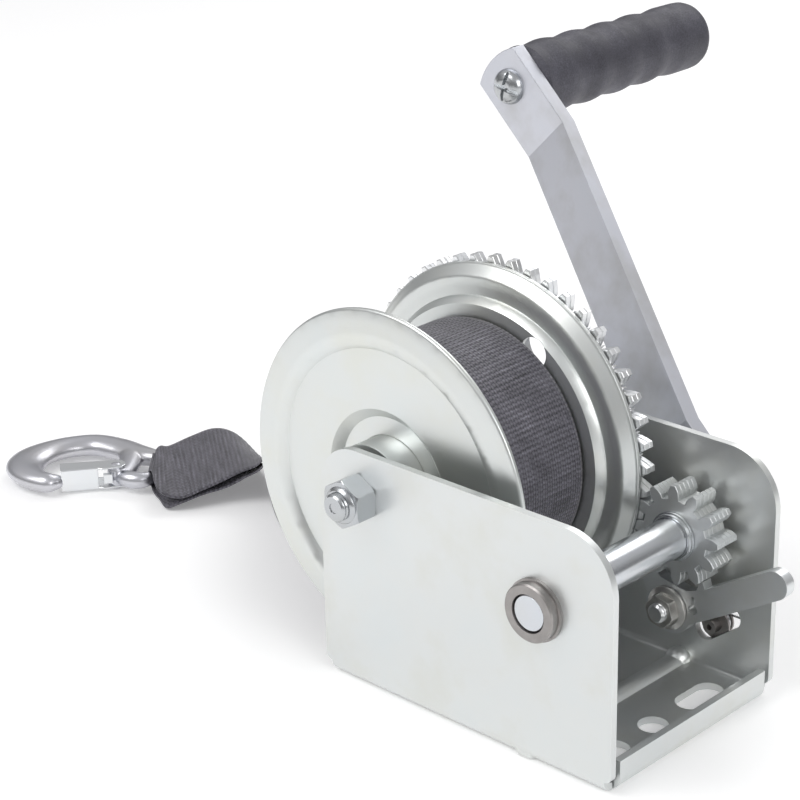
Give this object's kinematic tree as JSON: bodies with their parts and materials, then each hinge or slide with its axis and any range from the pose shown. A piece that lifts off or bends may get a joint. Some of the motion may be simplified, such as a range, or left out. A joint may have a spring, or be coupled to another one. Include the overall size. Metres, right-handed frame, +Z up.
{
  "type": "boat trailer winch",
  "caption": "Hand winch for a boat trailer: folded sheet frame, geared drum wound with webbing strap, crank with a waved grip, ratchet pawl and a strap end snap hook.",
  "frame": {"origin": "middle of the frame's footprint on the underside of the base, on the trailer winch stand's top face", "axes": "+X from the strap end to the folded lip end, +Y from the plain side plate to the crank side, +Z up from the base"},
  "size_m": [0.4117, 0.2853, 0.22],
  "materials": {
    "zinc_plate": "bright zinc plated sheet and bar, satin",
    "zinc_drum": "bright zinc plated pressed sheet",
    "zinc_gear": "bright zinc plated stamped steel",
    "zinc_shaft": "bright zinc plated turned steel",
    "zinc_hardware": "bright zinc plated fasteners",
    "zinc_hook": "bright zinc plated forging",
    "bare_steel": "oiled brown-grey steel",
    "spring_steel": "spring wire and strip",
    "webbing": "woven polyester webbing, charcoal",
    "grip_plastic": "matt moulded dark grey plastic"
  },
  "bodies": {
    "frame": {"frame": "zinc_plate", "drum_axle_bolt": "zinc_hardware", "drum_axle_nut": "zinc_hardware", "drum_sleeve": "zinc_hardware", "shaft_bushings": "bare_steel", "pawl_bolt": "zinc_hardware", "pawl_bushing": "bare_steel", "pawl_nut": "bare_steel", "pawl_spring": "spring_steel", "spring_post": "bare_steel", "strap_tail": "webbing", "snap_hook": "zinc_hook", "latch_rivet": "zinc_hardware"},
    "drum": {"near_flange": "zinc_drum", "gear_flange": "zinc_drum", "drum_gear": "zinc_gear", "drum_hub": "zinc_drum", "hub_bushings": "bare_steel", "strap_pin": "zinc_hardware", "strap_pack": "webbing"},
    "crank": {"pinion_gear": "zinc_gear", "pinion_shaft": "zinc_shaft", "thrust_ring": "zinc_shaft", "crank_arm": "zinc_plate", "crank_washer": "zinc_hardware", "crank_nut": "zinc_hardware", "grip_screw": "zinc_hardware", "grip_nut": "zinc_hardware"},
    "grip": {"handle_grip": "grip_plastic"},
    "pawl": {"pawl": "zinc_gear"},
    "latch": {"hook_latch": "zinc_hook", "latch_spring": "spring_steel"}
  },
  "joints": [
    {"name": "drum_spin", "type": "hinge", "parent": "frame", "child": "drum", "pos_m": [-0.051, 0, 0.0815], "axis": [0, 1, 0], "continuous": true},
    {"name": "pinion_spin", "type": "hinge", "parent": "frame", "child": "crank", "pos_m": [0.03728, 0, 0.064], "axis": [0, 1, 0], "continuous": true},
    {"name": "grip_spin", "type": "hinge", "parent": "crank", "child": "grip", "pos_m": [-0.10293, 0.16, 0.20324], "axis": [0, 1, 0], "continuous": true},
    {"name": "pawl_swing", "type": "hinge", "parent": "frame", "child": "pawl", "pos_m": [0.031, 0.039, 0.029], "axis": [0, 1, 0], "range_deg": [-8, 8]},
    {"name": "latch_swing", "type": "hinge", "parent": "frame", "child": "latch", "pos_m": [-0.27139, 0.00816, 0.005], "axis": [0, 0, 1], "range_deg": [-30, 0]}
  ],
  "couplings": [
    {"joint": "pinion_spin", "follows": "drum_spin", "ratio": -4}
  ]
}
